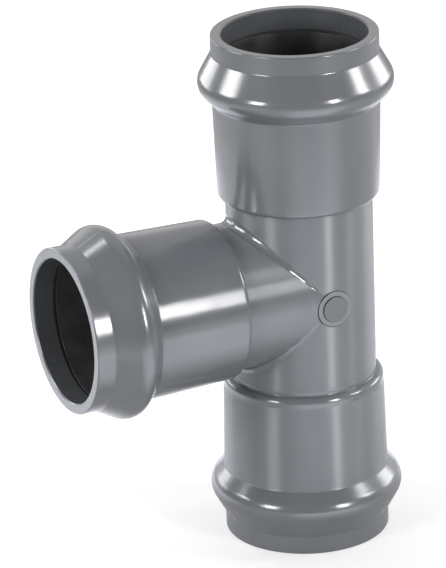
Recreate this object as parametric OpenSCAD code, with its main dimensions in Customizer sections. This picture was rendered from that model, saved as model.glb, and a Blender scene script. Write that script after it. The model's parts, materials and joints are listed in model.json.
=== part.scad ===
// Pressure pipe tee with three push-fit sockets, each with a rubber lip seal in its groove.
// The run stands along Z, with the centre of the lower socket's mouth at the origin.
// The branch points along -X and the gate mark faces -Y.

/* [Pipe] */
// Outside diameter of the pipes that it joins
pipe_d = 63; // [56:1:68]
// Wall of those pipes, whose inside the waterway carries on
pipe_wall = 4.7; // [3.5:0.1:6]

/* [Lengths] */
// From the centre of the crossing to the mouth of each run socket
half_run = 117; // [117:1:140]
// From the centre of the crossing to the mouth of the branch socket
branch_len = 116; // [116:1:140]
// From a mouth to the face of its shoulder
socket_len = 74.6; // [60:0.1:75]
// From a mouth to the step that stops the pipe
stop_depth = 70; // [55:0.5:70.5]

/* [Lip] */
// Clearance round the pipe in the entry collar
collar_gap = 0.7; // [0.3:0.1:1.5]
// Wall of the lip round the mouth
lip_wall = 4.7; // [3.5:0.1:6]
// Length of the straight lip, outside
lip_len = 8.3; // [5:0.1:11]
// Chamfer at the mouth, inside
entry_chamfer = 0.5; // [0.2:0.1:1.2]
// Rounding at the mouth, outside
rim_round = 0.6; // [0.3:0.1:1.5]

/* [Bead] */
// How far the bead's crest stands out from the lip
bead_rise = 6.2; // [5:0.1:8]
// Slope of the bead's cone on the mouth side, in degrees
cone_angle = 29; // [25:1:40]
// Slope of the bead's return to the barrel, in degrees
return_angle = 45; // [38:1:55]
// Rounding of the crest
crest_round = 7.3; // [6.2:0.1:8]
// Wall of the bead round the seal groove
bead_wall = 4.7; // [3.8:0.1:5.2]
// Fillet where the lip runs into the cone
lip_fillet = 1.5; // [0.5:0.1:3]
// Fillet where the bead runs into the barrel
bead_fillet = 1.2; // [0.5:0.1:2]
// Rounding of the groove's two edges
groove_edge = 0.6; // [0.2:0.1:0.8]

/* [Barrel] */
// Clearance round the pipe in the barrel
barrel_gap = 0.25; // [0.15:0.05:0.6]
// Wall of the barrel beside the bead
barrel_wall_bead = 5.2; // [4.5:0.1:6]
// Wall of the barrel beside the shoulder
barrel_wall_shoulder = 4.1; // [4:0.1:5]
// Rounding of the shoulder
shoulder_round = 2.6; // [1:0.1:2.6]
// Fillet where the shoulder meets the neck
shoulder_fillet = 0.4; // [0.2:0.1:0.4]
// Rounding in the corner of the pipe stop
stop_fillet = 0.8; // [0.3:0.1:1.5]
// Rounding of the pipe stop's inner edge
stop_edge = 1.5; // [0.5:0.1:2]

/* [Crossing] */
// Wall of the necks round the waterway
neck_wall = 5.8; // [5:0.1:6.2]
// How much smaller in radius the branch waterway is, where the moulding cores meet
core_step = 0.3; // [0.2:0.1:1]
// Fillet in the two crotches
crotch_round = 3.5; // [2:0.1:4]

/* [Gate mark] */
// Diameter of the flat boss round the gate
gate_d = 16.4; // [13:0.1:18]
// Diameter of the cut stub on it
gate_stub_d = 11.6; // [8:0.1:12.4]
// How far the boss stands out from the neck at its middle
gate_rise = 0.4; // [0.3:0.1:1]
// How far the stub stands out from the boss
gate_step = 0.8; // [0.3:0.1:1.2]
// How far the gate lies below the middle of the crossing
gate_drop = 2; // [0:0.1:4]
// Rounding of the boss's and the stub's edge
gate_edge = 0.25; // [0.1:0.05:0.3]

/* [Seal] */
// Clearance between the seal and its groove
seal_gap = 0.15; // [0.1:0.05:0.3]
// How far the free lip stands inside the pipe's surface
seal_squeeze = 1.3; // [0.8:0.1:2]
// How far the seal's body stays outside the pipe's surface
seal_relief = 1.1; // [0.9:0.1:1.5]
// Thickness of the seal's lip at its tip
seal_lip = 1.9; // [1.6:0.1:2.2]
// How far the tip of the lip lies short of the seal's heel
seal_tip_back = 1.6; // [1:0.1:3]
// How far the heel stands out from the seal's body
heel_rise = 1.4; // [1:0.1:1.6]
// Depth of the notch behind the lip, along the pipe
notch_depth = 7; // [6:0.1:7.5]
// How far the notch's root stands out from the seal's body
notch_rise = 2.6; // [2.2:0.1:2.8]
// Rounding of the seal's edges
seal_edge = 0.5; // [0.3:0.1:0.6]

/* [Hidden] */
$fn = 96;

pipe_r = pipe_d / 2;
collar_r = pipe_r + collar_gap;
lip_r = collar_r + lip_wall;
barrel_bore_r = pipe_r + barrel_gap;
waterway_r = pipe_r - pipe_wall;
neck_r = waterway_r + neck_wall;
run_len = 2 * half_run;
shoulder_step = barrel_bore_r + barrel_wall_shoulder - neck_r;
// The most of the shoulder's step that its rounding and its fillet may take
round_share = 0.82;
fillet_share = 0.14;
plastic = [0.45, 0.47, 0.5];
rubber = [0.06, 0.06, 0.065];
// How far a cutter runs past the face that it opens
over = 1;
// How far round the run the crotch's fillet reaches each way, and the turn between its sections
crotch_reach = 80;
crotch_step = 5;
// Steps of the ball's arc in each section, and how deep the arc's ends are sunk
arc_steps = 6;
sink = 0.1;

// Centre of the bead's crest, as radius and distance from the mouth
crest_r = lip_r + bead_rise - crest_round;
crest_s = lip_len + (crest_round + (crest_r - lip_r) * cos(cone_angle)) / sin(cone_angle);
// The groove and the seal are rounded about the same centre as the crest
groove_round = crest_round - bead_wall;
seal_round = groove_round - seal_gap;

// Distance from the mouth at which a flank, set off from the crest's centre, reaches radius r
function cone_at(off, r) =
    crest_s - off * sin(cone_angle) + (r - crest_r - off * cos(cone_angle)) / tan(cone_angle);
function return_at(off, r) =
    crest_s + off * sin(return_angle) - (r - crest_r - off * cos(return_angle)) / tan(return_angle);
// Where the two flanks would meet if the crest weren't rounded
function apex(off) =
    let (n_cone = [cos(cone_angle), -sin(cone_angle)], n_return = [cos(return_angle), sin(return_angle)])
    [crest_r, crest_s] + off * (n_cone + n_return) / (1 + n_cone * n_return);

// Outlines are lists of [radius, distance from the mouth, rounding], anticlockwise
function corner(p, round) = [p[0], p[1], round];
socket_outside = [
    [lip_r, 0, rim_round],
    [lip_r, lip_len, lip_fillet],
    corner(apex(crest_round), crest_round),
    [barrel_bore_r + barrel_wall_bead, return_at(crest_round, barrel_bore_r + barrel_wall_bead), bead_fillet],
    [barrel_bore_r + barrel_wall_shoulder, socket_len, min(shoulder_round, round_share * shoulder_step)],
    [neck_r, socket_len, min(shoulder_fillet, fillet_share * shoulder_step)],
];
function socket_inside(way_r) = [
    [collar_r + entry_chamfer + over, -over, 0],
    [collar_r, entry_chamfer, 0],
    [collar_r, cone_at(groove_round, collar_r), groove_edge],
    corner(apex(groove_round), groove_round),
    [barrel_bore_r, return_at(groove_round, barrel_bore_r), groove_edge],
    [barrel_bore_r, stop_depth, stop_fillet],
    [way_r, stop_depth, stop_edge],
];
// The same outline at both ends of a length, closed along the axis
function both_ends(pts, length) = concat(
    [[0, pts[0][1], 0]],
    pts,
    [for (i = [len(pts) - 1:-1:0]) [pts[i][0], length - pts[i][1], pts[i][2]]],
    [[0, length - pts[0][1], 0]]
);
// The outline at one end, carried on to the given length
function one_end(pts, length) = concat(
    [[0, pts[0][1], 0]],
    pts,
    [[pts[len(pts) - 1][0], length, 0], [0, length, 0]]
);

// Geometry of one corner of an outline
function unit(v) = v / norm(v);
function at(pts, i) = let (p = pts[(i + len(pts)) % len(pts)]) [p[0], p[1]];
function back(pts, i) = unit(at(pts, i - 1) - at(pts, i));
function ahead(pts, i) = unit(at(pts, i + 1) - at(pts, i));
function half_angle(pts, i) = acos(back(pts, i) * ahead(pts, i)) / 2;
function setback(pts, i) = pts[i][2] / tan(half_angle(pts, i));
function arc_start(pts, i) = at(pts, i) + back(pts, i) * setback(pts, i);
function arc_end(pts, i) = at(pts, i) + ahead(pts, i) * setback(pts, i);
function arc_centre(pts, i) =
    at(pts, i) + unit(back(pts, i) + ahead(pts, i)) * pts[i][2] / sin(half_angle(pts, i));
function convex(pts, i) = cross(ahead(pts, i), back(pts, i)) > 0;

// The kite between a corner and its arc's centre, cut to the arc
module corner_piece(pts, i) {
    intersection() {
        polygon([arc_centre(pts, i), arc_start(pts, i), at(pts, i), arc_end(pts, i)]);
        translate(arc_centre(pts, i)) circle(pts[i][2]);
    }
}

// A closed outline with every corner rounded by a true arc
module rounded(pts) {
    corners = [for (i = [0:len(pts) - 1]) if (pts[i][2] > 0) i];
    difference() {
        union() {
            polygon([
                for (i = [0:len(pts) - 1])
                    each pts[i][2] > 0 ? [arc_start(pts, i), arc_end(pts, i)] : [at(pts, i)]
            ]);
            for (i = corners) if (convex(pts, i)) corner_piece(pts, i);
        }
        for (i = corners) if (!convex(pts, i)) corner_piece(pts, i);
    }
}

// Puts what stands on the origin, mouth down, at the branch socket
module at_branch() {
    translate([-branch_len, 0, half_run]) rotate([0, 90, 0]) children();
}

module at_upper() {
    translate([0, 0, run_len]) mirror([0, 0, 1]) children();
}

// A ball of the crotch's radius rolls round the run and the branch, whose necks are equal.
// Its centre at angle a round the run, from the middle of the crotch
function ball(a) = (neck_r + crotch_round) * [-cos(a), sin(a), cos(a)];
function to_run(a) = [cos(a), -sin(a), 0];
function to_branch(a) = [0, -sin(a), -cos(a)];
// The ball's arc from the run to the branch, sunk a little at both ends
function ball_arc(a) =
    let (turn = acos(to_run(a) * to_branch(a)))
    [
        for (k = [0:arc_steps])
            let (
                t = k / arc_steps,
                reach = crotch_round + ((k == 0 || k == arc_steps) ? sink : 0),
                dir = (sin((1 - t) * turn) * to_run(a) + sin(t * turn) * to_branch(a)) / sin(turn)
            )
            ball(a) + reach * dir
    ];
// One section of the fillet: the arc, and a point buried under the crease
function crotch_section(a) = concat(ball_arc(a), [(neck_r - over) * [-cos(a), sin(a), cos(a)]]);

// Fillet in the upper crotch, about the crossing's centre
module crotch_fillet() {
    angles = [-crotch_reach:crotch_step:crotch_reach];
    sections = [for (a = angles) crotch_section(a)];
    size = arc_steps + 2;
    last = (len(sections) - 1) * size;
    polyhedron(
        points = [for (s = sections) each s],
        faces = concat(
            [for (k = [1:size - 2]) [0, k, k + 1]],
            [for (k = [1:size - 2]) [last, last + k + 1, last + k]],
            [
                for (j = [0:len(sections) - 2], k = [0:size - 1])
                    let (p = j * size + k, q = j * size + (k + 1) % size)
                    each [[p, p + size, q], [q, p + size, q + size]]
            ]
        )
    );
}

module crotch_fillets() {
    translate([0, 0, half_run]) {
        crotch_fillet();
        mirror([0, 0, 1]) crotch_fillet();
    }
}

// Flat round boss on the front of the crossing, with the stub that was left when the gate was cut off
module gate_boss() {
    boss_root = (waterway_r + neck_r) / 2;
    boss_face = neck_r + gate_rise;
    translate([0, 0, half_run - gate_drop]) rotate([90, 0, 0]) rotate_extrude() rounded([
        [0, boss_root, 0],
        [gate_d / 2, boss_root, 0],
        [gate_d / 2, boss_face, gate_edge],
        [gate_stub_d / 2, boss_face, 0],
        [gate_stub_d / 2, boss_face + gate_step, gate_edge],
        [0, boss_face + gate_step, 0],
    ]);
}

module tee_body() {
    color(plastic) difference() {
        union() {
            rotate_extrude() rounded(both_ends(socket_outside, run_len));
            at_branch() rotate_extrude() rounded(one_end(socket_outside, branch_len));
            crotch_fillets();
            gate_boss();
        }
        rotate_extrude() rounded(both_ends(socket_inside(waterway_r), run_len));
        at_branch() rotate_extrude() rounded(one_end(socket_inside(waterway_r - core_step), branch_len));
    }
}

// Section of the seal: a wedge that fills the groove, and a lip that points inwards along the pipe
module seal_section() {
    body_r = pipe_r + seal_relief;
    tip_r = pipe_r - seal_squeeze;
    toe_s = cone_at(seal_round, body_r);
    heel_s = return_at(seal_round, body_r + heel_rise);
    tip_s = heel_s - seal_tip_back;
    rounded([
        [body_r, toe_s, seal_edge / 2],
        corner(apex(seal_round), seal_round),
        [body_r + heel_rise, heel_s, seal_edge],
        [body_r + notch_rise, heel_s - notch_depth, seal_edge],
        [tip_r + seal_lip, tip_s + seal_edge, seal_edge],
        [tip_r, tip_s, seal_edge],
    ]);
}

module seal() {
    color(rubber) rotate_extrude() seal_section();
}

module lower_seal() {
    seal();
}

module upper_seal() {
    at_upper() seal();
}

module branch_seal() {
    at_branch() seal();
}

tee_body();
lower_seal();
upper_seal();
branch_seal();
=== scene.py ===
"""Looks of a grey plastic pressure pipe tee with three push-fit sockets, on a pale studio floor.

The body and the seals are rebuilt here as smooth meshes with true surface normals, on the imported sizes.
"""
import json
import math

import bpy
import numpy as np
from mathutils import Matrix, Vector


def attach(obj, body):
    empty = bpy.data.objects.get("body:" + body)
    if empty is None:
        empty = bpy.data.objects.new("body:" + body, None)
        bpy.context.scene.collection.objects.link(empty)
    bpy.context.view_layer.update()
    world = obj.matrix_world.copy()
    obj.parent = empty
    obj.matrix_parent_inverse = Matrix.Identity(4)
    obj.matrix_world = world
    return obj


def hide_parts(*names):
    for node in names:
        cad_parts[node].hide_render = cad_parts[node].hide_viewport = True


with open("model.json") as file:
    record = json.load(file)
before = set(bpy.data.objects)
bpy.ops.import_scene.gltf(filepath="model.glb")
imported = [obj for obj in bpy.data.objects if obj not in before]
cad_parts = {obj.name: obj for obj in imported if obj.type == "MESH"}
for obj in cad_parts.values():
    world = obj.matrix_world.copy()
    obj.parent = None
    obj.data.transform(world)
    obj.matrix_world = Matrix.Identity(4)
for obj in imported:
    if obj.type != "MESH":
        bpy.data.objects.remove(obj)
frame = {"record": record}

MM = 0.001
mounts = {m["name"]: m for m in frame["record"]["mounts"]}
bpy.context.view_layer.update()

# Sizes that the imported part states
RUN_LEN = mounts["upper_socket"]["pos_m"][2]
HALF_RUN = mounts["branch_socket"]["pos_m"][2]
BRANCH_LEN = -mounts["branch_socket"]["pos_m"][0]
COLLAR_R = mounts["lower_socket"]["dims"]["r_mm"] * MM

# Pipe, and the clearances round it
PIPE_R = 31.5 * MM
PIPE_WALL = 4.7 * MM
BARREL_GAP = 0.25 * MM
BARREL_BORE_R = PIPE_R + BARREL_GAP
WATERWAY_R = PIPE_R - PIPE_WALL
CORE_STEP = 0.3 * MM
BRANCH_WATERWAY_R = WATERWAY_R - CORE_STEP

# Socket, from its mouth inwards
LIP_WALL = 4.7 * MM
LIP_R = COLLAR_R + LIP_WALL
LIP_LEN = 8.3 * MM
RIM_ROUND = 0.6 * MM
ENTRY_CHAMFER = 0.5 * MM
EDGE_BREAK = 0.2 * MM
BEAD_RISE = 6.2 * MM
CONE_SLOPE = math.radians(29)
RETURN_SLOPE = math.radians(45)
CREST_ROUND = 7.3 * MM
BEAD_WALL = 4.7 * MM
LIP_FILLET = 1.5 * MM
BEAD_FILLET = 1.2 * MM
GROOVE_EDGE = 0.6 * MM
BARREL_WALL_AT_BEAD = 5.2 * MM
BARREL_WALL_AT_SHOULDER = 4.1 * MM
BARREL_R_AT_BEAD = BARREL_BORE_R + BARREL_WALL_AT_BEAD
BARREL_R_AT_SHOULDER = BARREL_BORE_R + BARREL_WALL_AT_SHOULDER
SOCKET_LEN = 74.6 * MM
SHOULDER_ROUND = 2.6 * MM
SHOULDER_FILLET = 0.4 * MM
STOP_DEPTH = 70 * MM
STOP_FILLET = 0.8 * MM
STOP_EDGE = 1.5 * MM
# Where the barrel's own finish starts, clear of the bead
BARREL_START = 30 * MM
# Where the lathed bore ends on the waterway, and the lathed outside on the neck, past the last roundings
BORE_END = STOP_DEPTH + 2 * STOP_EDGE
OUTSIDE_END = SOCKET_LEN + 2 * SHOULDER_FILLET

# Crossing
NECK_WALL = 5.8 * MM
NECK_R = WATERWAY_R + NECK_WALL
CROTCH_ROUND = 3.5 * MM
# Radius at which the centre of the crotch's ball rolls round each neck's axis
BALL_PATH_R = NECK_R + CROTCH_ROUND

# Boss round the gate, and the cut stub on it
GATE_R = 8.2 * MM
GATE_STUB_R = 5.8 * MM
GATE_RISE = 0.4 * MM
GATE_STEP = 0.8 * MM
GATE_DROP = 2 * MM
GATE_EDGE = 0.25 * MM
GATE_FILLET = 0.3 * MM
# The most of the boss's height that its fillet or its edge may take
GATE_EDGE_SHARE = 0.45

# Seal
SEAL_GAP = 0.15 * MM
SEAL_RELIEF = 1.1 * MM
SEAL_SQUEEZE = 1.3 * MM
SEAL_BODY_R = PIPE_R + SEAL_RELIEF
SEAL_TIP_R = PIPE_R - SEAL_SQUEEZE
SEAL_LIP = 1.9 * MM
SEAL_TIP_BACK = 1.6 * MM
SEAL_HEEL_RISE = 1.4 * MM
SEAL_NOTCH_DEPTH = 7 * MM
SEAL_NOTCH_RISE = 2.6 * MM
SEAL_EDGE = 0.5 * MM

# The bead's crest, its groove and the seal are rounded about one centre
CREST_R = LIP_R + BEAD_RISE - CREST_ROUND
CREST_S = LIP_LEN + (CREST_ROUND + (CREST_R - LIP_R) * math.cos(CONE_SLOPE)) / math.sin(CONE_SLOPE)
GROOVE_ROUND = CREST_ROUND - BEAD_WALL
SEAL_ROUND = GROOVE_ROUND - SEAL_GAP

# Mesh fineness
COLUMNS = 144
ARC_TURN = math.radians(7)
LONGEST_STEP = 6 * MM
CROTCH_STEPS = 10
NECK_ROWS = 6
PATCH_TURN = math.radians(20)
PATCH_STEPS = round(COLUMNS * PATCH_TURN / math.pi)
PATCH_EDGE = BALL_PATH_R * math.sin(PATCH_TURN)
PATCH_RINGS = 5
BEND_ANGLES = np.radians([0, 30, 60, 90])
STUB_RINGS = 5
# Angles once round a socket, from a quarter turn before 0
FULL_CIRCLE = np.linspace(-math.pi / 2, 1.5 * math.pi, COLUMNS + 1)
# Points that agree to a millionth of a metre are welded into one
WELD_SCALE = 1e6
# Room for rounding when angles are compared, the least turn that isn't flat, the least cosine of a normal
# that counts as straight along an axis, and how often the crotch's end is solved anew
ANGLE_SLACK = 1e-6
TINY = 1e-9
NEARLY_ALONG = 0.999
SOLVER_ROUNDS = 30


def unit(v):
    return v / np.linalg.norm(v, axis=-1, keepdims=True)


def cone_at(offset, r):
    """Distance from the mouth at which the cone, set off from the crest's centre, reaches radius r."""
    rise = r - CREST_R - offset * math.cos(CONE_SLOPE)
    return CREST_S - offset * math.sin(CONE_SLOPE) + rise / math.tan(CONE_SLOPE)


def return_at(offset, r):
    """The same for the flank that returns to the barrel."""
    rise = r - CREST_R - offset * math.cos(RETURN_SLOPE)
    return CREST_S + offset * math.sin(RETURN_SLOPE) - rise / math.tan(RETURN_SLOPE)


def apex(offset):
    """Where the two flanks would meet if the crest weren't rounded, with that rounding."""
    cone = np.array([math.cos(CONE_SLOPE), -math.sin(CONE_SLOPE)])
    back = np.array([math.cos(RETURN_SLOPE), math.sin(RETURN_SLOPE)])
    r, s = np.array([CREST_R, CREST_S]) + offset * (cone + back) / (1 + cone @ back)
    return (r, s, offset)


def rounded(corners, closed=False):
    """Points and outward normals along an outline of (radius, distance, rounding) corners.

    The solid lies on the left of the way along it, and each corner is a true arc.
    """
    at = np.array([c[:2] for c in corners])
    count = len(corners)
    points, normals = [], []

    def straight_to(p):
        """Cuts a long straight stretch into shorter ones."""
        gap = np.linalg.norm(p - points[-1])
        parts = int(gap // LONGEST_STEP)
        start = points[-1]
        way = (p - start) / gap
        for k in range(1, parts + 1):
            points.append(start + (p - start) * k / (parts + 1))
            normals.append(np.array([way[1], -way[0]]))

    for i in range(count + closed):
        here = at[i % count]
        radius = corners[i % count][2]
        if not closed and i in (0, count - 1):
            if i:
                straight_to(here)
            way = unit(at[1] - at[0]) if i == 0 else unit(here - at[i - 1])
            points.append(here)
            normals.append(np.array([way[1], -way[0]]))
            continue
        back, ahead = unit(at[(i - 1) % count] - here), unit(at[(i + 1) % count] - here)
        half = math.acos(back @ ahead) / 2
        centre = here + unit(back + ahead) * radius / math.sin(half)
        first = here + back * radius / math.tan(half) - centre
        side = math.copysign(1, first @ np.array([-back[1], back[0]]))
        turn = side * (math.pi - 2 * half)
        steps = max(2, math.ceil(abs(turn) / ARC_TURN))
        if points:
            straight_to(centre + first)
        if i == count:
            points.append(points[0])
            normals.append(normals[0])
            break
        for k in range(steps + 1):
            c, s = math.cos(turn * k / steps), math.sin(turn * k / steps)
            spoke = np.array([c * first[0] - s * first[1], s * first[0] + c * first[1]])
            points.append(centre + spoke)
            normals.append(side * spoke / radius)
    return np.array(points), np.array(normals)


def socket_outlines(way_r):
    """Three outlines: the bore out to the rim, the rim to the bead's foot, and the barrel to the neck."""
    corners = [
        (way_r, BORE_END, 0),
        (way_r, STOP_DEPTH, STOP_EDGE),
        (BARREL_BORE_R, STOP_DEPTH, STOP_FILLET),
        (BARREL_BORE_R, return_at(GROOVE_ROUND, BARREL_BORE_R), GROOVE_EDGE),
        apex(GROOVE_ROUND),
        (COLLAR_R, cone_at(GROOVE_ROUND, COLLAR_R), GROOVE_EDGE),
        (COLLAR_R, ENTRY_CHAMFER, EDGE_BREAK),
        (COLLAR_R + ENTRY_CHAMFER, 0, EDGE_BREAK),
        (LIP_R, 0, RIM_ROUND),
        (LIP_R, LIP_LEN, LIP_FILLET),
        apex(CREST_ROUND),
        (BARREL_R_AT_BEAD, return_at(CREST_ROUND, BARREL_R_AT_BEAD), BEAD_FILLET),
        (BARREL_R_AT_SHOULDER, SOCKET_LEN, SHOULDER_ROUND),
        (NECK_R, SOCKET_LEN, SHOULDER_FILLET),
        (NECK_R, OUTSIDE_END, 0),
    ]
    points, normals = rounded(corners)
    on_rim = (normals[:, 1] < -NEARLY_ALONG) & (points[:, 0] > COLLAR_R)
    rim = int(np.argmax(on_rim))
    on_barrel = (points[:, 1] > BARREL_START) & (np.arange(len(points)) > rim)
    barrel = int(np.argmax(on_barrel))
    cuts = [(0, rim + 1), (rim, barrel + 1), (barrel, None)]
    return [(points[a:b], normals[a:b]) for a, b in cuts]


def seal_outline():
    """The seal's closed section: a round back in the groove, and a lip that leans inwards."""
    heel_s = return_at(SEAL_ROUND, SEAL_BODY_R + SEAL_HEEL_RISE)
    tip_s = heel_s - SEAL_TIP_BACK
    corners = [
        (SEAL_BODY_R, cone_at(SEAL_ROUND, SEAL_BODY_R), SEAL_EDGE / 2),
        apex(SEAL_ROUND),
        (SEAL_BODY_R + SEAL_HEEL_RISE, heel_s, SEAL_EDGE),
        (SEAL_BODY_R + SEAL_NOTCH_RISE, heel_s - SEAL_NOTCH_DEPTH, SEAL_EDGE),
        (SEAL_TIP_R + SEAL_LIP, tip_s + SEAL_EDGE, SEAL_EDGE),
        (SEAL_TIP_R, tip_s, SEAL_EDGE),
    ]
    return rounded(corners, closed=True)


# Each socket's mouth, the directions of angles 0 and 90 degrees round it, and the way in
UP, DOWN = np.array([0, 0, 1.0]), np.array([0, 0, -1.0])
LEFT, RIGHT = np.array([-1.0, 0, 0]), np.array([1.0, 0, 0])
BACKWARDS = np.array([0, 1.0, 0])
CROSSING = np.array([0, 0, HALF_RUN])
LOWER = (np.zeros(3), LEFT, BACKWARDS, UP)
UPPER = (np.array([0, 0, RUN_LEN]), LEFT, BACKWARDS, DOWN)
BRANCH = (np.array([-BRANCH_LEN, 0, HALF_RUN]), UP, BACKWARDS, RIGHT)


class Skin:
    """Grids of points with their normals, welded into one mesh."""

    def __init__(self):
        self.points = []
        self.normals = []
        self.faces = []
        self.materials = []
        self.count = 0

    def add(self, points, normals, material=0):
        """Adds a grid. Its faces turn to the side that its normals point to."""
        points, normals = np.broadcast_arrays(points, normals)
        rows, columns = points.shape[:2]
        index = self.count + np.arange(rows * columns).reshape(rows, columns)
        around = [index[:-1, :-1], index[1:, :-1], index[1:, 1:], index[:-1, 1:]]
        quads = np.stack(around, -1).reshape(-1, 4)
        flat, flat_normals = points.reshape(-1, 3), normals.reshape(-1, 3)
        corners = flat[quads - self.count]
        facing = np.cross(corners[:, 2] - corners[:, 0], corners[:, 3] - corners[:, 1])
        agree = np.sum(facing * flat_normals[quads - self.count].mean(1))
        self.faces.append(quads if agree > 0 else quads[:, ::-1])
        self.materials += [material] * len(quads)
        self.points.append(flat)
        self.normals.append(flat_normals)
        self.count += len(flat)

    def lathe(self, outline, place, material=0):
        """Turns an outline of radius and distance round a socket's axis."""
        points, normals = outline
        origin, at_0, at_90, inwards = place
        ring = np.cos(FULL_CIRCLE)[:, None] * at_0 + np.sin(FULL_CIRCLE)[:, None] * at_90
        grid = origin + points[:, 0, None, None] * ring + points[:, 1, None, None] * inwards
        grid_normals = normals[:, 0, None, None] * ring + normals[:, 1, None, None] * inwards
        self.add(grid, grid_normals, material)

    def mesh(self, name):
        """One mesh with shared points, and the given normal at each face corner."""
        points, normals = np.concatenate(self.points), unit(np.concatenate(self.normals))
        faces = np.concatenate(self.faces)
        cells = np.round(points * WELD_SCALE).astype(np.int64)
        _, first, shared = np.unique(cells, axis=0, return_index=True, return_inverse=True)
        shared = shared.reshape(-1)
        made, corner_normals, materials = [], [], []
        for face, material in zip(faces, self.materials):
            corners = [k for n, k in enumerate(face) if shared[k] != shared[face[n - 1]]]
            if len(corners) > 2:
                made.append([int(shared[k]) for k in corners])
                corner_normals.extend(normals[k] for k in corners)
                materials.append(material)
        mesh = bpy.data.meshes.new(name)
        mesh.from_pydata(points[first].tolist(), [], made)
        mesh.polygons.foreach_set("use_smooth", [True] * len(made))
        mesh.polygons.foreach_set("material_index", materials)
        mesh.normals_split_custom_set([tuple(n) for n in corner_normals])
        return mesh


# The body's materials, in the order in which tee_body gives them
OUTSIDE, INSIDE, STUB, RUN_SIDE, BRANCH_SIDE, CREASE, GATE_WALL = range(7)


def crotch_turn(q):
    """The angle between the run's and the branch's surface, where the cosine round the run is q."""
    return np.arccos(np.clip(1 - q ** 2, -1, 1))


def crotch_shares(q, t):
    """The shares of the two surfaces' directions at t along the ball's arc, from 0 on the run to 1."""
    turn = crotch_turn(q)
    flat = turn < TINY
    safe = np.where(flat, 1, np.sin(turn))
    run = np.where(flat, 1 - t, np.sin((1 - t) * turn) / safe)
    branch = np.where(flat, t, np.sin(t * turn) / safe)
    return run, branch


def crotch(q, side, t, up):
    """Points and normals of the fillet that a ball leaves as it rolls round the equal necks.

    q is the cosine of the angle round the run, side the sign of y, and up the sign of z.
    """
    q, side, t = np.broadcast_arrays(np.asarray(q, float), side, t)
    sine = side * np.sqrt(1 - q ** 2)
    run, branch = crotch_shares(q, t)
    towards = np.stack([run * q, -(run + branch) * sine, -branch * q * up], -1)
    ball = BALL_PATH_R * np.stack([-q, sine, q * up], -1)
    return ball + CROTCH_ROUND * towards, -towards


def crotch_cosine(t, up, radius, drop):
    """The cosine where the fillet at t meets a ring round the Y axis, whose centre lies drop lower."""
    q = np.full(t.shape, radius / (BALL_PATH_R * math.sqrt(2)))
    for _ in range(SOLVER_ROUNDS):
        run, branch = crotch_shares(q, t)
        a, b = BALL_PATH_R - CROTCH_ROUND * run, BALL_PATH_R - CROTCH_ROUND * branch
        square = a ** 2 + b ** 2
        q = (np.sqrt((b * drop) ** 2 + square * (radius ** 2 - drop ** 2)) - up * b * drop) / square
    return q


def necks(skin):
    """The outside of both necks, up to a square patch round the Y axis on each side."""
    start = BALL_PATH_R * np.maximum(np.abs(np.cos(FULL_CIRCLE)), math.sin(PATCH_TURN))
    towards_branch = np.cos(FULL_CIRCLE) > 0
    run_start = np.where(towards_branch, start, PATCH_EDGE)
    share = np.linspace(0, 1, NECK_ROWS + 1)[:, None]
    along_run = run_start + (HALF_RUN - OUTSIDE_END - run_start) * share
    along_branch = start + (BRANCH_LEN - OUTSIDE_END - start) * share
    cos, sin = np.broadcast_arrays(np.cos(FULL_CIRCLE), np.sin(FULL_CIRCLE), along_run)[:2]
    flat = np.zeros_like(cos)
    for up in (1, -1):
        points = np.stack([-NECK_R * cos, NECK_R * sin, up * along_run], -1)
        skin.add(CROSSING + points, np.stack([-cos, sin, flat], -1), RUN_SIDE)
    points = np.stack([-along_branch, NECK_R * sin, NECK_R * cos], -1)
    skin.add(CROSSING + points, np.stack([flat, sin, cos], -1), BRANCH_SIDE)
    # The far side of the run between the two patches
    past_one = FULL_CIRCLE > math.pi / 2 + PATCH_TURN - ANGLE_SLACK
    before_other = FULL_CIRCLE < 1.5 * math.pi - PATCH_TURN + ANGLE_SLACK
    far = FULL_CIRCLE[past_one & before_other]
    rows = np.linspace(-PATCH_EDGE, PATCH_EDGE, PATCH_STEPS + 1)[:, None]
    cos, sin, rows = np.broadcast_arrays(np.cos(far), np.sin(far), rows)
    points = np.stack([-NECK_R * cos, NECK_R * sin, rows], -1)
    skin.add(CROSSING + points, np.stack([-cos, sin, np.zeros_like(cos)], -1), RUN_SIDE)


def crotches(skin):
    """The fillets above and below the branch, from one square patch to the other."""
    near = FULL_CIRCLE[np.cos(FULL_CIRCLE) > math.sin(PATCH_TURN) - ANGLE_SLACK]
    t = np.linspace(0, 1, CROTCH_STEPS + 1)[:, None]
    for up in (1, -1):
        points, normals = crotch(np.cos(near), np.sign(np.sin(near)), t, up)
        skin.add(CROSSING + points, normals, CREASE)


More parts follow.
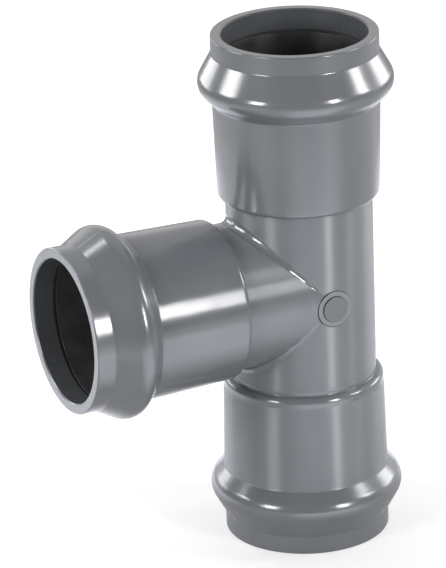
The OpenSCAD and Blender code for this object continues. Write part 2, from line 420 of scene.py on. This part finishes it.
def side_patch(skin, side, inner, drop=0):
    """The surface round the Y axis, from the square patch's edge in to a ring of radius inner.

    The ring's centre lies drop below the axis. Returns the ring's points, measured from the crossing, and
    their normals.
    """
    corner = NECK_R * math.sin(PATCH_TURN)
    turns = np.linspace(-PATCH_TURN, PATCH_TURN, PATCH_STEPS + 1)
    rows = np.linspace(PATCH_EDGE, -PATCH_EDGE, PATCH_STEPS + 1)
    top = [(NECK_R * math.sin(a), PATCH_EDGE) for a in turns]
    right = [(corner, z) for z in rows[1:]]
    bottom = [(NECK_R * math.sin(a), -PATCH_EDGE) for a in turns[::-1][1:]]
    run_edge = np.array(top + right + bottom)
    branch_edge = np.array([(-PATCH_EDGE, NECK_R * math.sin(a)) for a in turns])
    t = np.linspace(0, 1, CROTCH_STEPS + 1)
    share = np.linspace(0, 1, PATCH_RINGS + 1)[:, None]
    ring_points, ring_normals = [], []

    def spokes(edge_points):
        """Straight spokes towards the axis, from the edge in to the ring."""
        reach = np.linalg.norm(edge_points, axis=1)
        way = edge_points / reach[:, None]
        lower = -drop * way[:, 1]
        ring = lower + np.sqrt(lower ** 2 + inner ** 2 - drop ** 2)
        return way * (reach + (ring - reach) * share)[..., None]

    def keep(points, normals, material):
        """Adds a grid, and keeps its innermost row for the ring."""
        skin.add(CROSSING + points, normals, material)
        ring_points.append(points[-1][:-1])
        ring_normals.append(normals[-1][:-1])

    def crease(up, order):
        """The end of the fillet above or below the branch, with its columns in the ring's order."""
        first = math.sin(PATCH_TURN)
        q = first + (crotch_cosine(t, up, inner, drop) - first) * share
        points, normals = crotch(q, side, t, up)
        keep(points[:, ::order], normals[:, ::order], CREASE)

    flat = spokes(run_edge)
    height = side * np.sqrt(NECK_R ** 2 - flat[..., 0] ** 2)
    keep(np.stack([flat[..., 0], height, flat[..., 1]], -1),
         np.stack([flat[..., 0], height, 0 * height], -1) / NECK_R, RUN_SIDE)
    crease(-1, 1)
    flat = spokes(branch_edge)
    height = side * np.sqrt(NECK_R ** 2 - flat[..., 1] ** 2)
    keep(np.stack([flat[..., 0], height, flat[..., 1]], -1),
         np.stack([0 * height, height, flat[..., 1]], -1) / NECK_R, BRANCH_SIDE)
    crease(1, -1)
    points, normals = np.concatenate(ring_points), np.concatenate(ring_normals)
    return np.vstack([points, points[:1]]), np.vstack([normals, normals[:1]])


def gate_boss(skin):
    """The flat round boss on the front of the crossing, with the cut stub of the gate on it."""
    ring, ring_normals = side_patch(skin, -1, GATE_R + GATE_FILLET, GATE_DROP)
    centre = np.array([0, 0, -GATE_DROP])
    outwards = unit((ring - centre) * np.array([1, 0, 1]))
    front = np.broadcast_to(np.array([0, -1.0, 0]), outwards.shape)
    base = -ring[:, 1]
    face = np.full(len(ring), NECK_R + GATE_RISE)
    rows, normals = [], []

    def bend(radii, heights, first, last, level_first):
        """A quarter turn from one radius and height to the next, that sets off level or upright."""
        for a in BEND_ANGLES:
            quick, slow = math.sin(a), 1 - math.cos(a)
            along, up = (quick, slow) if level_first else (slow, quick)
            radius = radii[0] + (radii[1] - radii[0]) * along
            height = heights[0] + (heights[1] - heights[0]) * up
            rows.append(centre + radius * outwards + height[:, None] * front)
            normals.append(math.cos(a) * first + math.sin(a) * last)

    room = GATE_EDGE_SHARE * (face - base)
    foot, edge = np.minimum(GATE_FILLET, room), np.minimum(GATE_EDGE, room)
    top = face + GATE_STEP
    bend((GATE_R + GATE_FILLET, GATE_R), (base, base + foot), ring_normals, outwards, True)
    bend((GATE_R, GATE_R - GATE_EDGE), (face - edge, face), outwards, front, False)
    bend((GATE_STUB_R + GATE_FILLET, GATE_STUB_R), (face, face + GATE_FILLET), front, outwards, True)
    bend((GATE_STUB_R, GATE_STUB_R - GATE_EDGE), (top - GATE_EDGE, top), outwards, front, False)
    # Each band runs from the start of a bend to the start of the next
    turns = len(BEND_ANGLES)
    # The walls and their foot fillets take the gate wall's near-black painted shade; the faces and top edges
    # keep the outside's plastic
    for k, material in enumerate((GATE_WALL, OUTSIDE, GATE_WALL, OUTSIDE)):
        band = slice(k * turns, (k + 1) * turns + 1)
        skin.add(CROSSING + np.array(rows[band]), np.array(normals[band]), material)
    radii = np.linspace(GATE_STUB_R - GATE_EDGE, 0, STUB_RINGS)
    stub = [centre + r * outwards + top[:, None] * front for r in radii]
    skin.add(CROSSING + np.array(stub), front, STUB)


def waterways(skin):
    """The run's and the branch's waterway, which meet in a sharp edge."""
    narrow = BRANCH_WATERWAY_R / WATERWAY_R
    towards_branch = np.cos(FULL_CIRCLE) > -TINY
    widest = math.asin(narrow)
    back_angle = math.pi + (FULL_CIRCLE - math.pi) * (math.pi - widest) / (math.pi / 2)
    middle = np.where(towards_branch, np.arcsin(narrow * np.sin(FULL_CIRCLE)), back_angle)
    # The last column is the first one again, a full turn on
    middle[-1] = 2 * math.pi - widest
    start = np.where(towards_branch, BRANCH_WATERWAY_R * np.cos(FULL_CIRCLE), 0)
    share = np.linspace(0, 1, NECK_ROWS + 1)[:, None]
    angle = middle + (FULL_CIRCLE - middle) * share
    along = start + (HALF_RUN - BORE_END - start) * share
    cos, sin = np.cos(angle), np.sin(angle)
    for up in (1, -1):
        points = np.stack([-WATERWAY_R * cos, WATERWAY_R * sin, up * along], -1)
        skin.add(CROSSING + points, np.stack([cos, -sin, 0 * angle], -1), INSIDE)
    y = BRANCH_WATERWAY_R * np.sin(FULL_CIRCLE)
    start = np.sqrt(WATERWAY_R ** 2 - y ** 2)
    along = start + (BRANCH_LEN - BORE_END - start) * share
    y, z, along = np.broadcast_arrays(y, BRANCH_WATERWAY_R * np.cos(FULL_CIRCLE), along)
    normals = np.stack([0 * y, -y, -z], -1) / BRANCH_WATERWAY_R
    skin.add(CROSSING + np.stack([-along, y, z], -1), normals, INSIDE)


def piece(name, mesh, materials, node):
    """Puts a mesh in the scene in place of a CAD node."""
    made = bpy.data.objects.new(name, mesh)
    bpy.context.scene.collection.objects.link(made)
    for material in materials:
        mesh.materials.append(material)
    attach(made, "root")
    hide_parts(node)


class Nodes:
    """A short way to write a node tree."""

    def __init__(self, tree):
        self.tree = tree

    def new(self, kind, **settings):
        node = self.tree.nodes.new(kind)
        for key, value in settings.items():
            setattr(node, key, value)
        return node

    def link(self, source, target):
        self.tree.links.new(source, target)

    def spread(self, value, ends, to=(0, 1)):
        """Maps the range between two ends onto another, and holds it past them."""
        node = self.new("ShaderNodeMapRange")
        for name, number in zip(("From Min", "From Max", "To Min", "To Max"), (*ends, *to)):
            node.inputs[name].default_value = number
        self.link(value, node.inputs["Value"])
        return node.outputs["Result"]

    def math(self, operation, *values):
        node = self.new("ShaderNodeMath", operation=operation)
        for slot, value in zip(node.inputs, values):
            if isinstance(value, (int, float)):
                slot.default_value = value
            else:
                self.link(value, slot)
        return node.outputs["Value"]

    def mix(self, share, a, b):
        """Mixes two colours, each a plain colour or a node's output."""
        node = self.new("ShaderNodeMix", data_type="RGBA")
        self.link(share, node.inputs["Factor"])
        for name, colour in (("A", a), ("B", b)):
            slot = [s for s in node.inputs if s.name == name and s.type == "RGBA"][0]
            if isinstance(colour, tuple):
                slot.default_value = (*colour, 1)
            else:
                self.link(colour, slot)
        return [s for s in node.outputs if s.type == "RGBA"][0]

    def along(self, vector, way):
        """How far a vector reaches along a fixed way."""
        node = self.new("ShaderNodeVectorMath", operation="DOT_PRODUCT")
        self.link(vector, node.inputs[0])
        node.inputs[1].default_value = way
        return node.outputs["Value"]

    def is_ray(self, kind):
        """1 for rays of one kind, such as Glossy, and 0 for the rest."""
        return self.new("ShaderNodeLightPath").outputs["Is " + kind + " Ray"]

    def seen(self):
        """1 where the eye sees the surface, straight or through something clear, and 0 elsewhere."""
        return self.math("MAXIMUM", self.is_ray("Camera"), self.is_ray("Transmission"))


class Material(Nodes):
    """A new material's nodes, with its shader and the place on the object."""

    def __init__(self, name):
        self.material = bpy.data.materials.new(name)
        self.material.use_nodes = True
        super().__init__(self.material.node_tree)
        self.shader = self.tree.nodes["Principled BSDF"]
        self.place = self.new("ShaderNodeTexCoord").outputs["Object"]

    def noise(self, per_metre, detail, roughness=0.5, offset=(0, 0, 0), stretch=(1, 1, 1)):
        mapping = self.new("ShaderNodeMapping")
        mapping.inputs["Location"].default_value = offset
        mapping.inputs["Scale"].default_value = stretch
        self.link(self.place, mapping.inputs["Vector"])
        noise = self.new("ShaderNodeTexNoise")
        noise.inputs["Scale"].default_value = per_metre
        noise.inputs["Detail"].default_value = detail
        noise.inputs["Roughness"].default_value = roughness
        self.link(mapping.outputs["Vector"], noise.inputs["Vector"])
        return noise.outputs["Fac"]

    def bump(self, height, distance, normal=None):
        node = self.new("ShaderNodeBump")
        node.inputs["Distance"].default_value = distance
        self.link(height, node.inputs["Height"])
        if normal is not None:
            self.link(normal, node.inputs["Normal"])
        return node.outputs["Normal"]

    def feed(self, **sources):
        """Links nodes to the shader's sockets, which are named with _ for a space."""
        for name, source in sources.items():
            self.link(source, self.shader.inputs[name.replace("_", " ")])


# The middle of a noise's range, which holds most of its values
NOISE_MIDDLE = (0.3, 0.7)

# The two greys of the plastic; the darker greys of its bores, which are painted shade for the shadow inside
# the sockets, with their duller gloss; and the plastic's gloss
LIGHT_GREY = (0.155, 0.163, 0.179)
DARK_GREY = (0.14, 0.148, 0.163)
BORE_SHADE_LIGHT_GREY = (0.088, 0.092, 0.098)
BORE_SHADE_DARK_GREY = (0.078, 0.082, 0.087)
PLASTIC_IOR = 1.54
PLASTIC_ROUGHNESS = 0.2
BORE_ROUGHNESS = 0.28
BORE_GLOSS = 0.8

# Its cloudy flow and darker specks: how many to a metre, and where in the noise each sets in and is full
CLOUDS_PER_METRE = 28
CLOUD_ENDS = (0.35, 0.65)
SPECKS_PER_METRE = 1500
SPECK_ENDS = (0.55, 0.8)
SPECK_SHADE = 0.93
SPECK_SHARE = 0.35

# Its wear, as shares of the roughness
WEAR_PER_METRE = 90
WEAR_SHARES = (0.85, 1.2)

# How many low waves it has to a metre, and their height, and the same on the crotch's fillets
WAVES = (55, 0.12 * MM)
CREASE_WAVES = (140, 0.9 * MM)

# The mould's fine skin, and the parting line: where its ridge starts to fall and ends, and its height
SKIN_PER_METRE = 1100
SKIN_HEIGHT = 0.004 * MM
PARTING_ENDS = (0.08 * MM, 0.35 * MM)
PARTING_HEIGHT = 0.05 * MM

# How far the turned finish draws a highlight out, in part and where it is strong. Where it is strong it is
# also rougher, and its colour is painted paler by a share of a lighter shade of the plastic, as sheen for
# the light that the drawn-out highlights catch.
PART_DRAW = 0.6
STRONG_DRAW = 1.0
STRONG_ROUGHER = 0.16
PAINTED_SHEEN_SCALE = 2
PAINTED_SHEEN_SHARE = 0.2


def flow_colour(n, light, dark):
    """Faint cloudy flow between two greys, with fine darker specks."""
    cloud = n.noise(CLOUDS_PER_METRE, detail=3, offset=(0.3, 0.1, 0.7))
    speck = n.noise(SPECKS_PER_METRE, detail=2, offset=(1.3, 0.4, 0.2))
    colour = n.mix(n.spread(cloud, CLOUD_ENDS), dark, light)
    deeper = tuple(SPECK_SHADE * c for c in dark)
    return n.mix(n.spread(speck, SPECK_ENDS, (0, SPECK_SHARE)), colour, deeper)


def moulded_normal(n, waves, parting_line):
    """Low waves, the mould's fine skin and, where it shows, the ridge of its parting line."""
    per_metre, height = waves
    normal = n.bump(n.noise(per_metre, detail=1, offset=(0.5, 1.5, 0.1)), height)
    skin = n.noise(SKIN_PER_METRE, detail=2, offset=(4.0, 0.0, 1.0))
    normal = n.bump(skin, SKIN_HEIGHT, normal)
    if parting_line:
        off_plane = n.math("ABSOLUTE", n.along(n.place, BACKWARDS))
        normal = n.bump(n.spread(off_plane, PARTING_ENDS, (1, 0)), PARTING_HEIGHT, normal)
    return normal


def turned_finish(n, axis, start, end, colour, roughness):
    """The mould's turned finish, which draws highlights out along a socket's axis.

    It is strong from start to end along that axis, where it is also rougher and its colour is painted paler,
    as sheen for the light that its drawn-out highlights catch. Returns the colour and the roughness that it
    leaves.
    """
    tangent = n.new("ShaderNodeCombineXYZ")
    for slot, value in zip(tangent.inputs, axis):
        slot.default_value = value
    distance = n.along(n.place, axis)
    strong = n.math("MULTIPLY", n.spread(distance, (start - MM, start)),
                    n.spread(distance, (end, end + MM), (1, 0)))
    # The lower socket's rounded shoulder lies within that stretch, and keeps its own sharp highlight
    off_shoulder = n.math("ABSOLUTE", n.math("SUBTRACT", distance, SOCKET_LEN - SHOULDER_ROUND / 2))
    strong = n.math("MULTIPLY", strong, n.spread(off_shoulder, (SHOULDER_ROUND, SHOULDER_ROUND + MM)))
    draw = n.math("MULTIPLY_ADD", strong, STRONG_DRAW - PART_DRAW, PART_DRAW)
    n.feed(Tangent=tangent.outputs["Vector"], Anisotropic=draw)
    # Painted sheen: a paler grey mixed in where the finish is strong
    pale = tuple(PAINTED_SHEEN_SCALE * c for c in LIGHT_GREY)
    colour = n.mix(n.math("MULTIPLY", strong, PAINTED_SHEEN_SHARE), colour, pale)
    return colour, n.math("MULTIPLY_ADD", strong, STRONG_ROUGHER, roughness)


def plastic(name, light=LIGHT_GREY, dark=DARK_GREY, rough=PLASTIC_ROUGHNESS, gloss=1.0,
            waves=WAVES, parting_line=True, turned=None):
    """Injection-moulded grey plastic. If turned is given, it is the turned finish's axis, start and end."""
    n = Material(name)
    colour = flow_colour(n, light, dark)
    wear = n.noise(WEAR_PER_METRE, detail=4, roughness=0.6, offset=(2.1, 0.2, 0.9))
    roughness = n.spread(wear, NOISE_MIDDLE, tuple(rough * share for share in WEAR_SHARES))
    if turned:
        colour, roughness = turned_finish(n, *turned, colour, roughness)
    n.shader.inputs["IOR"].default_value = PLASTIC_IOR
    n.shader.inputs["Specular IOR Level"].default_value = gloss
    n.feed(Base_Color=colour, Roughness=roughness, Normal=moulded_normal(n, waves, parting_line))
    return n.material


# The cut face of the gate's stub
STUB_GRAIN_PER_METRE = 900
STUB_DARK = (0.15, 0.155, 0.165)
STUB_LIGHT = (0.21, 0.217, 0.23)
STUB_ROUGHNESS = (0.45, 0.65)
MARKS_PER_METRE = 500
MARKS_STRETCH = (1, 1, 6)
MARKS_HEIGHT = 0.06 * MM


def cut_stub():
    """The cut face of the gate's stub: matt, with fine level tool marks."""
    n = Material("cut_stub")
    grain = n.noise(STUB_GRAIN_PER_METRE, detail=4, roughness=0.7)
    marks = n.noise(MARKS_PER_METRE, detail=3, stretch=MARKS_STRETCH)
    n.shader.inputs["IOR"].default_value = PLASTIC_IOR
    n.feed(Base_Color=n.mix(grain, STUB_DARK, STUB_LIGHT),
           Roughness=n.spread(grain, NOISE_MIDDLE, STUB_ROUGHNESS),
           Normal=n.bump(marks, MARKS_HEIGHT))
    return n.material


# Painted shade on the low walls round the gate: a near-black, matt colour for the shadow and dark
# reflections in them
GATE_WALL_NOISE_PER_METRE = 600
GATE_SHADE_DARK = (0.02, 0.021, 0.023)
GATE_SHADE_LIGHT = (0.05, 0.053, 0.058)
GATE_WALL_ROUGHNESS = (0.5, 0.7)
GATE_WALL_BUMP = 0.03 * MM


def gate_wall():
    """The low steep walls round the gate, matt, with painted shade: a near-black colour for their shadow and
    dark reflections.
    """
    n = Material("gate_wall")
    wall_noise = n.noise(GATE_WALL_NOISE_PER_METRE, detail=3)
    # Painted shade: the walls' colour is near-black, for their shadow and dark reflections
    n.feed(Base_Color=n.mix(wall_noise, GATE_SHADE_DARK, GATE_SHADE_LIGHT),
           Roughness=n.spread(wall_noise, NOISE_MIDDLE, GATE_WALL_ROUGHNESS),
           Normal=n.bump(wall_noise, GATE_WALL_BUMP))
    return n.material


# The seals' rubber, with its bloom and its skin
BLOOM_PER_METRE = 120
BLOOM_ENDS = (0.35, 0.7)
RUBBER_BLACK = (0.028, 0.028, 0.029)
RUBBER_BLOOM = (0.044, 0.044, 0.046)
RUBBER_ROUGHNESS = (0.3, 0.42)
RUBBER_SKIN_PER_METRE = 1800
RUBBER_SKIN_HEIGHT = 0.02 * MM


def rubber():
    """Matt black rubber with a soft bloom and a fine moulded skin."""
    n = Material("seal_rubber")
    bloom = n.noise(BLOOM_PER_METRE, detail=4, roughness=0.6)
    skin = n.noise(RUBBER_SKIN_PER_METRE, detail=3)
    n.feed(Base_Color=n.mix(n.spread(bloom, BLOOM_ENDS), RUBBER_BLACK, RUBBER_BLOOM),
           Roughness=n.spread(bloom, NOISE_MIDDLE, RUBBER_ROUGHNESS),
           Normal=n.bump(skin, RUBBER_SKIN_HEIGHT))
    return n.material


def tee_body():
    """The one moulding, from its sockets to its gate, with a material for each kind of surface."""
    skin = Skin()
    for place, way_r, side in ((LOWER, WATERWAY_R, RUN_SIDE), (UPPER, WATERWAY_R, RUN_SIDE),
                               (BRANCH, BRANCH_WATERWAY_R, BRANCH_SIDE)):
        bore, bead, barrel = socket_outlines(way_r)
        skin.lathe(bore, place, INSIDE)
        skin.lathe(bead, place, OUTSIDE)
        skin.lathe(barrel, place, side)
    necks(skin)
    crotches(skin)
    side_patch(skin, 1, 0)
    gate_boss(skin)
    waterways(skin)
    materials = [
        plastic("moulded_plastic"),
        # The bores take the same plastic painted darker, as painted shade for the shadow inside the sockets
        plastic("bore_plastic", BORE_SHADE_LIGHT_GREY, BORE_SHADE_DARK_GREY, BORE_ROUGHNESS, BORE_GLOSS,
                parting_line=False),
        cut_stub(),
        plastic("run_plastic", turned=(UP, BARREL_START, RUN_LEN - SOCKET_LEN)),
        plastic("branch_plastic", turned=(RIGHT, SOCKET_LEN - BRANCH_LEN, BRANCH_LEN)),
        plastic("crease_plastic", waves=CREASE_WAVES),
        gate_wall(),
    ]
    piece("tee_body_skin", skin.mesh("tee_body_skin"), materials, "tee_body")


def seals():
    """The same rubber seal in each socket."""
    material = rubber()
    for name, place in (("lower_seal", LOWER), ("upper_seal", UPPER), ("branch_seal", BRANCH)):
        skin = Skin()
        skin.lathe(seal_outline(), place)
        piece(name + "_skin", skin.mesh(name + "_skin"), [material], name)


# Camera: where it looks from, and how far beside and above the crossing it aims
PHOTO_LONG_SIDE = 568
SENSOR = 36
CAMERA_AZIMUTH = math.radians(-25.3)
CAMERA_ELEVATION = math.radians(21.74)
CAMERA_ROLL = math.radians(-1.99)
CAMERA_DISTANCE = 1.846
CAMERA_FOCAL_PIXELS = 4144.4
CAMERA_REACH = 20
AIM_SIDEWAYS = -34.8 * MM
AIM_UP = -0.15 * MM


def camera():
    """A long lens at the photo's viewing angle, rolled a little."""
    a, e, roll = CAMERA_AZIMUTH, CAMERA_ELEVATION, CAMERA_ROLL
    away = Vector((math.sin(a) * math.cos(e), -math.cos(a) * math.cos(e), math.sin(e)))
    right = Vector((math.cos(a), math.sin(a), 0))
    up = away.cross(right)
    spot = Vector(CROSSING) + AIM_SIDEWAYS * right + AIM_UP * up + CAMERA_DISTANCE * away
    turned_right = math.cos(roll) * right + math.sin(roll) * up
    turned_up = math.cos(roll) * up - math.sin(roll) * right
    data = bpy.data.cameras.new("camera")
    data.sensor_width = SENSOR
    data.lens = CAMERA_FOCAL_PIXELS * SENSOR / PHOTO_LONG_SIDE
    data.clip_end = CAMERA_REACH
    made = bpy.data.objects.new("camera", data)
    bpy.context.scene.collection.objects.link(made)
    made.matrix_world = Matrix((
        (turned_right.x, turned_up.x, away.x, spot.x),
        (turned_right.y, turned_up.y, away.y, spot.y),
        (turned_right.z, turned_up.z, away.z, spot.z),
        (0, 0, 0, 1),
    ))
    bpy.context.scene.camera = made


# Studio lamps: name, azimuth in degrees, distance and height of the stand, the lamp's width and height,
# and its radiance
LAMPS = [
    ("front_lamp", 18, 1.2, 0.53, (0.2, 0.38), 26),
    ("right_lamp", 59, 0.52, 0.42, (0.13, 0.18), 12),
    ("left_lamp", -72, 0.97, 0.45, (0.27, 0.3), 14),
    ("back_left_lamp", -115, 0.59, 0.46, (0.22, 0.21), 10),
    ("back_right_lamp", 99, 0.8, 0.33, (0.34, 0.2), 6),
    ("back_lamp", -158, 0.8, 0.27, (0.42, 0.18), 4),
    ("high_back_lamp", -149, 0.58, 0.74, (0.12, 0.07), 8),
]


def area_lamp(name, azimuth, distance, height, size, radiance):
    """A soft lamp on a stand, facing the crossing. Azimuth 0 is at the front, and 90 on the right."""
    a = math.radians(azimuth)
    data = bpy.data.lights.new(name, "AREA")
    data.shape = "RECTANGLE"
    data.size, data.size_y = size
    data.energy = radiance * math.pi * size[0] * size[1]
    made = bpy.data.objects.new(name, data)
    bpy.context.scene.collection.objects.link(made)
    made.location = (distance * math.sin(a), -distance * math.cos(a), height)
    made.rotation_mode = "QUATERNION"
    made.rotation_quaternion = (made.location - Vector(CROSSING)).to_track_quat("Z", "Y")
    made.visible_camera = False


WHITE = (1, 1, 1)

# The room's light, and the brighter backdrop: the way to its middle, the cosines of the angle off that way
# over which it sets in, and the sines of the angle above level over which it fades to a share of its light
ROOM_LIGHT = 0.23
BACKDROP_LIGHT = 0.8
BACKDROP_WAY = (0.62, 0.785, 0)
BACKDROP_EDGE = (0.2, 0.45)
BACKDROP_FADE = (0.2, 0.4)
BACKDROP_TOP_SHARE = 0.6


def studio():
    """The world's plain light with the backdrop in it, which the eye sees as white, and the lamps."""
    world = bpy.data.worlds.new("studio")
    bpy.context.scene.world = world
    world.use_nodes = True
    n = Nodes(world.node_tree)
    way = n.new("ShaderNodeTexCoord").outputs["Generated"]
    wide = n.spread(n.along(way, BACKDROP_WAY), BACKDROP_EDGE)
    low = n.spread(n.along(way, UP), BACKDROP_FADE, (1, BACKDROP_TOP_SHARE))
    backdrop = n.math("MULTIPLY", n.math("MULTIPLY", wide, low), BACKDROP_LIGHT)
    room = n.math("ADD", backdrop, ROOM_LIGHT)
    background = n.tree.nodes["Background"]
    background.inputs["Color"].default_value = (*WHITE, 1)
    n.link(n.math("MAXIMUM", room, n.seen()), background.inputs["Strength"])
    for lamp in LAMPS:
        area_lamp(*lamp)


# The floor: half its width, and its faint grain
FLOOR_REACH = 4
FLOOR_GRAIN_PER_METRE = 14
FLOOR_DARK = (0.62, 0.62, 0.62)
FLOOR_LIGHT = (0.65, 0.65, 0.65)
FLOOR_ROUGHNESS = (0.6, 0.7)

# Its glow in the gloss: the ways from the tee to its two lit parts, the cosines of the angle off each way
# over which that part sets in, their strengths and their colour
FLOOR_BACK_WAY = (0, 1, 0)
FLOOR_BACK_EDGE = (0.1, 0.5)
FLOOR_GLOW_BACK = 0.95
FLOOR_FRONT_WAY = (-0.05, -0.999, 0)
FLOOR_FRONT_EDGE = (0.7, 0.92)
FLOOR_GLOW_FRONT = 1.25
FLOOR_GLOW_COLOUR = (0.94, 0.97, 1.09)

# Distances from the run's axis over which that glow sets in and dies away, and over which the floor turns
# plain white to the eye, beyond the shadow, with its own light at the two ends
POOL_START = (0.05, 0.12)
POOL_END = (0.44, 0.5)
WHITE_START = (0.15, 0.7)
WHITE_GLOW = (0.44, 0.75)


def floor():
    """A pale floor that keeps the tee's shadow. It glows in the gloss, and further off it is plain white."""
    n = Material("studio_floor")
    grain = n.noise(FLOOR_GRAIN_PER_METRE, detail=4)
    outwards = n.new("ShaderNodeVectorMath", operation="NORMALIZE")
    n.link(n.place, outwards.inputs[0])
    away = n.new("ShaderNodeVectorMath", operation="LENGTH")
    n.link(n.place, away.inputs[0])
    distance = away.outputs["Value"]

    def glow_towards(way, edge, strength):
        """The strength of one lit part, by how near a spot's way from the tee is to the part's way."""
        return n.spread(n.along(outwards.outputs["Vector"], way), edge, (0, strength))

    lit = n.math("ADD", glow_towards(FLOOR_BACK_WAY, FLOOR_BACK_EDGE, FLOOR_GLOW_BACK),
                 glow_towards(FLOOR_FRONT_WAY, FLOOR_FRONT_EDGE, FLOOR_GLOW_FRONT))
    pool = n.math("MULTIPLY", n.spread(distance, POOL_START), n.spread(distance, POOL_END, (1, 0)))
    mirrored = n.is_ray("Glossy")
    glow = n.math("MULTIPLY", n.math("MULTIPLY", mirrored, lit), pool)
    white = n.math("MULTIPLY", n.seen(), n.spread(distance, WHITE_START, WHITE_GLOW))
    n.feed(Base_Color=n.mix(grain, FLOOR_DARK, FLOOR_LIGHT),
           Roughness=n.spread(grain, NOISE_MIDDLE, FLOOR_ROUGHNESS),
           Emission_Color=n.mix(mirrored, WHITE, FLOOR_GLOW_COLOUR),
           Emission_Strength=n.math("ADD", glow, white))
    corners = [(-FLOOR_REACH, -FLOOR_REACH, 0), (FLOOR_REACH, -FLOOR_REACH, 0),
               (FLOOR_REACH, FLOOR_REACH, 0), (-FLOOR_REACH, FLOOR_REACH, 0)]
    mesh = bpy.data.meshes.new("studio_floor")
    mesh.from_pydata(corners, [], [(0, 1, 2, 3)])
    mesh.materials.append(n.material)
    made = bpy.data.objects.new("studio_floor", mesh)
    bpy.context.scene.collection.objects.link(made)


tee_body()
seals()
camera()
studio()
floor()
bpy.context.scene.view_settings.view_transform = "Standard"
